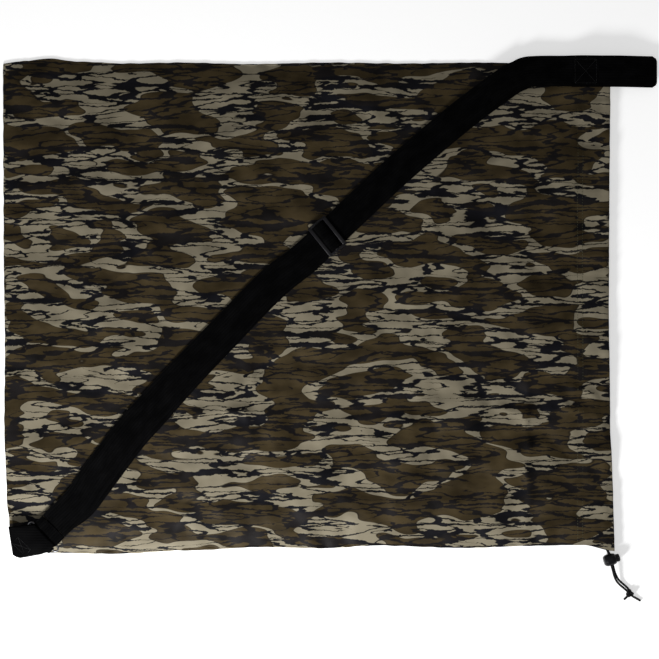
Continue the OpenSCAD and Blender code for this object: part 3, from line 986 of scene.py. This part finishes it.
def strap_pieces():
    line = smooth_line(strap_line, 3 * MM)
    start = np.argmax(line[:, 0] <= join_x)
    line[start, 0] = join_x
    level_x = np.linspace(join_x, corners("strap_sewn_layer")[0][0], 18)
    level = np.stack([level_x, np.full_like(level_x, strap_y)], axis=1)
    for name, node, path, layer_z, extra in (
        ("strap_main", "strap_main_run", line[start:], upper_layer_z, buckles),
        ("strap_sewn", "strap_sewn_layer", level, lower_layer_z, None),
    ):
        piece = flat_ribbon(name, path, layer_z, extra)
        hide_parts(node)
        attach(piece, "sack_front")
    back = flat_ribbon("strap_return", smooth_line(return_line, 3 * MM), lower_layer_z)
    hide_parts("strap_return_run")
    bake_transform(back)


def strap_end_piece():
    """The folded end past the mouth, one band of webbing from the upper layer round to the lower one."""
    bend_r = (upper_layer_z - lower_layer_z) / 2
    out_x = loop_high[0] - bend_r - web_t / 2
    reach = np.arange(join_x, out_x, 3 * MM)
    angle = np.linspace(math.pi / 2, -math.pi / 2, 9)
    section = [(x - join_x, bend_r) for x in reach]
    section += [(out_x - join_x + bend_r * math.cos(a), bend_r * math.sin(a)) for a in angle]
    section += [(x - join_x, -bend_r) for x in reach[::-1]]
    middle_z = (upper_layer_z + lower_layer_z) / 2

    def sag(x, y):
        return strap_sag(x, y) + np.abs(flutter(x, y)) * (1 - smoothstep(x, join_x, out_x))

    origin = (join_x, strap_y, middle_z)
    piece = section_ribbon("strap_folded_end", section, origin, (1, 0), sag=sag, corner=7 * MM)
    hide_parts("strap_end_loop")
    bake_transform(piece)


def box_of_stitches(name, node, centre, turn, length, width, z_at):
    """Sewn box with a cross in it, as small stitches."""
    ways = [
        ((-1, -1), (1, -1)), ((1, -1), (1, 1)), ((1, 1), (-1, 1)), ((-1, 1), (-1, -1)), ((-1, -1), (1, 1)),
        ((-1, 1), (1, -1)),
    ]
    spin = np.array([[math.cos(turn), -math.sin(turn)], [math.sin(turn), math.cos(turn)]])
    pitch, last_room = 2.4 * MM, 1.6 * MM
    points = []
    for start, end in ways:
        a = spin @ (np.array(start) * [length / 2, width / 2]) + centre[:2]
        b = spin @ (np.array(end) * [length / 2, width / 2]) + centre[:2]
        way = (b - a) / np.linalg.norm(b - a)
        side = np.array([-way[1], way[0]])
        for at in np.arange(0, np.linalg.norm(b - a) - last_room, pitch):
            for share, half, rise in ((0.0, 0.1, 0.0), (0.5, 0.36, 0.3), (1.3, 0.36, 0.3), (1.8, 0.1, 0.0)):
                for s in (-1, 0, 1):
                    place = a + way * (at + share * MM) + side * s * half * MM
                    base = float(z_at(np.array([place[0]]), np.array([place[1]]))[0])
                    points.append((*place, base + (rise if s == 0 else 0) * MM))
    piece = new_object(name, np.array(points), stitch_faces(len(points)), black_thread)
    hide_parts(node)
    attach(piece, "sack_front")


def strap_top(x, y):
    """Outer face of the strap's upper layer."""
    return upper_layer_z + web_t / 2 + strap_sag(x, y) + np.abs(flutter(x, y))


def return_top(x, y):
    """Outer face of the strap's second layer."""
    return lower_layer_z + web_t / 2 + np.abs(flutter(x, y))


def strap_stitch_pieces():
    low, high = corners("strap_box_stitches")
    middle = (low + high) / 2 - [8 * MM, 0, 0]
    box_of_stitches("strap_sewn_box", "strap_box_stitches", middle, 0, 34 * MM, 38 * MM, strap_top)
    low, high = corners("strap_end_bar_tack")
    middle = (low + high) / 2
    box_of_stitches("strap_bar_tack", "strap_end_bar_tack", middle, slide_turn, 3 * MM, 40 * MM, return_top)


# ---- Slider ----


def rounded_bar(start, end, width, height):
    """Points and faces of a bar with a rounded section, closed at both ends."""
    start, end = np.array(start, float), np.array(end, float)
    way = (end - start) / np.linalg.norm(end - start)
    side = np.array([-way[1], way[0], 0])
    sides = 16
    turns = 2 * math.pi * (np.arange(sides) + 0.5) / sides
    round_x = np.sign(np.cos(turns)) * np.abs(np.cos(turns)) ** 0.6
    round_z = np.sign(np.sin(turns)) * np.abs(np.sin(turns)) ** 0.6
    inset = 0.9 * MM
    length = np.linalg.norm(end - start)
    rounding = [(0, 0.55), (0.3 * inset, 0.85), (inset, 1)]
    stations = rounding + [(length - at, size) for at, size in rounding[::-1]]
    up = np.array([0, 0, 1])
    points = []
    for at, size in stations:
        for a, b in zip(round_x, round_z):
            points.append(start + way * at + size / 2 * (side * a * width + up * b * height))
    faces = sleeve_faces(len(stations), sides)
    faces.append(list(range(sides))[::-1])
    faces.append([(len(stations) - 1) * sides + k for k in range(sides)])
    return points, faces


def slider_piece():
    """Slider frame: two wide end bars, a middle bar and two side rails."""
    centre = (slider_low + slider_high) / 2
    turn = math.radians(39)  # it lies a little askew on the strap
    ahead = np.array([math.cos(turn), math.sin(turn), 0])
    side = np.array([-math.sin(turn), math.cos(turn), 0])
    height = slider_high[2] - slider_low[2]

    def place(along, across):
        return centre + ahead * along * MM + side * across * MM

    bars = [rounded_bar(place(at, -29), place(at, 29), 6 * MM, height) for at in (14.5, -14.5)]
    bars.append(rounded_bar(place(0, -28.5), place(0, 28.5), 4.6 * MM, height))
    bars += [rounded_bar(place(-15.5, off), place(15.5, off), 3.8 * MM, height) for off in (27.1, -27.1)]
    points, faces = merged(bars)
    piece = new_object("slider_frame", points, faces, slider_look)
    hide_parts("slider")
    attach(piece, "strap_slider")
    half_hump = [(1.5, 4.8), (4.6, 4.6), (7.4, 3.7), (9.6, 1.9), (11.6, 0.35), (13.2, 0.0)]
    hump = MM * np.array([(-at, rise) for at, rise in half_hump[::-1]] + half_hump)
    base = (centre[0], centre[1], slider_low[2] - 0.3 * MM)
    over = section_ribbon("strap_over_bar", smooth_line(hump, 0.9 * MM), base, ahead[:2])
    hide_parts("strap_over_slider_bar")
    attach(over, "strap_slider")


# ---- Corner ring, patch and tab ----

ring_turn = math.radians(46)
ring_middle = (ring_low + ring_high) / 2
ring_ahead = np.array([math.cos(ring_turn), math.sin(ring_turn)])
ring_half_gap = 4.5 * MM


def bent_section(length, end_drop):
    """Both layers of webbing round a bar: lower layer in, round the bar, and the upper layer out."""
    bend = 2.6 * MM
    angle = np.linspace(-math.pi / 2, -1.5 * math.pi, 15)
    lower = [(at, -bend) for at in np.linspace(length, 0, 7)[:-1]]
    around = [(bend * math.cos(a), bend * math.sin(a)) for a in angle]
    upper = [(at, bend - end_drop * (at / length) ** 1.5) for at in np.linspace(0, length, 7)[1:]]
    return np.array(lower + around + upper)


def behind_ring(x, y):
    """Distance from the ring towards the sack's corner."""
    return (ring_middle[0] - x) * ring_ahead[0] + (ring_middle[1] - y) * ring_ahead[1]


def corner_sag(x, y):
    """How far the tab sinks with the sack's corner, away from the ring."""
    return -7.5 * MM * smoothstep(behind_ring(x, y), 6 * MM, 44 * MM)


def corner_pieces():
    wrap_len, tab_len = 18 * MM, 9 * MM
    drop = 2.6 * MM + ring_middle[2] - upper_layer_z
    for name, node, sign, reach in (
        ("strap_ring_bend", "strap_ring_wrap", 1, wrap_len), ("corner_tab_bend", "corner_tab", -1, tab_len),
    ):
        origin = np.array([*(ring_middle[:2] + sign * ring_half_gap * ring_ahead), ring_middle[2]])
        sag = None if sign > 0 else corner_sag
        piece = section_ribbon(name, bent_section(reach, drop), origin, sign * ring_ahead, sag=sag)
        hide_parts(node)
        if sign > 0:
            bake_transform(piece)
        else:
            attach(piece, "sack_front")


def patch_height(x, y):
    """Middle of the corner patch: over the tab by the ring, and down on the cloth further out."""
    down = smoothstep(behind_ring(x, y), 7 * MM, 44 * MM)
    outer = smoothstep(-y, 384 * MM, 404 * MM) + smoothstep(-x, 500 * MM, 516 * MM)
    crumple = 0.35 * MM * ripple(x, y, 24 * MM, 71)
    return ring_middle[2] + 4.6 * MM - 9.5 * MM * down - 1.6 * MM * outer + crumple


def patch_top(x, y):
    return patch_height(x, y) + web_t / 2


def patch_piece():
    """Patch over the sack's corner that covers the tab up to the ring, rounded down at its outer edge."""
    outline = MM * np.array([
        (-514, -351.5), (-500, -349.5), (-486, -347.2), (-470.5, -346), (-462.5, -355.2), (-454.5, -364),
        (-446, -372.6), (-437.8, -381.4), (-451.5, -391.5), (-461.5, -395.4), (-472, -397.6), (-484, -400.2),
        (-496, -402), (-502, -400.4), (-507.8, -397.2), (-510.2, -382), (-512.4, -366.5),
    ])
    centre = outline.mean(axis=0)
    rings = 9
    count = len(outline)
    points = np.array([centre + (outline - centre) * k / rings for k in range(1, rings + 1)]).reshape(-1, 2)
    points = np.concatenate([[centre], points])
    surface = patch_height(points[:, 0], points[:, 1])
    half = np.full(len(points), web_t / 2)
    half[-count:] *= 0.4
    top = np.column_stack([points, surface + half])
    bottom = np.column_stack([points, surface - half])
    total = len(points)
    faces = []
    for k in range(count):
        after = (k + 1) % count
        faces.append([0, 1 + after, 1 + k])
        faces.append([total, total + 1 + k, total + 1 + after])
        for r in range(rings - 1):
            a, b = 1 + r * count + k, 1 + r * count + after
            faces.append([a, b, b + count, a + count])
            faces.append([total + a, total + a + count, total + b + count, total + b])
        a, b = 1 + (rings - 1) * count + k, 1 + (rings - 1) * count + after
        faces.append([a, b, total + b, total + a])
    piece = new_object("corner_patch_cover", np.concatenate([top, bottom]), faces, patch_look_painted_shade)
    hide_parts("corner_patch")
    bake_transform(piece)
    low, high = corners("corner_patch_stitches")
    middle = (low + high) / 2
    box_of_stitches("patch_sewn_box", "corner_patch_stitches", middle, ring_turn, 14 * MM, 28 * MM, patch_top)


strap_pieces()
strap_end_piece()
strap_stitch_pieces()
slider_piece()
corner_pieces()
patch_piece()

# ---- Cord lock's spring ----


def spring_piece():
    """Coil spring between the lock's closed end and its plunger; how far the button presses it is worked out
    but not used.
    """
    low, high = corners("cord_lock_spring")
    turn = math.radians(15)  # the cord lock's slant
    coil_r, wire_r, turns = 4.4 * MM, 0.25 * MM, 2.5
    length = (high[0] - low[0] - 2 * (coil_r + wire_r) * math.sin(turn)) / math.cos(turn)
    ahead = np.array([math.cos(turn), math.sin(turn), 0])
    side = np.array([-math.sin(turn), math.cos(turn), 0])
    at = np.linspace(0, 1, 120)
    angle = 2 * math.pi * turns * at
    line = (low + high) / 2 + ahead * ((at - 0.5) * length)[:, None]
    line = line + coil_r * (side * np.cos(angle)[:, None] + np.array([0, 0, 1]) * np.sin(angle)[:, None])
    piece = tube_object("lock_spring_coil", line, wire_r, spring_look, 10)
    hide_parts("cord_lock_spring")
    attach(piece, "cord_lock")
    press = 2.5 * MM
    closed_end = (low + high) / 2 - ahead * length / 2
    1 - press / length
    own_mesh(piece)


spring_piece()

# ---- Hard parts that keep their CAD shape ----

for node, look in (
    ("corner_ring", ring_look), ("cord_lock_body", lock_look), ("cord_lock_plunger", button_look),
):
    shown = bpy.data.objects[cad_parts[node].name]
    for material_slot in shown.material_slots:
        material_slot.material = look

# ---- Floor and light ----


def floor_piece():
    """Wide flat sheet of pale paper."""
    size, count = 40.0, 9
    spots = np.linspace(-size / 2, size / 2, count)
    x, y = np.meshgrid(spots, spots, indexing="ij")
    points = np.stack([x, y, np.full_like(x, -0.2 * MM)], axis=2)
    index = np.arange(count * count).reshape(count, count)
    piece = new_object("floor", points.reshape(-1, 3), grid_quads(index).tolist(), floor_material())


def area_light(name, location, target, size, power):
    light = bpy.data.lights.new(name, "AREA")
    light.shape = "DISK"
    light.size = size
    light.energy = power
    lamp = bpy.data.objects.new(name, light)
    lamp.location = location
    lamp.rotation_euler = (Vector(target) - Vector(location)).to_track_quat("-Z", "Y").to_euler()
    bpy.context.scene.collection.objects.link(lamp)


def world_light(strength):
    world = bpy.data.worlds.new("studio")
    world.use_nodes = True
    background = world.node_tree.nodes["Background"]
    background.inputs["Color"].default_value = (1, 1, 1, 1)
    background.inputs["Strength"].default_value = strength
    bpy.context.scene.world = world


floor_piece()
world_light(0.2)
area_light("key", (-0.6, -1.3, 0.76), (0.0, -0.18, 0.0), 0.4, 28)
area_light("fill", (-0.1, -0.2, 2.4), (0.0, -0.1, 0.0), 1.6, 2)
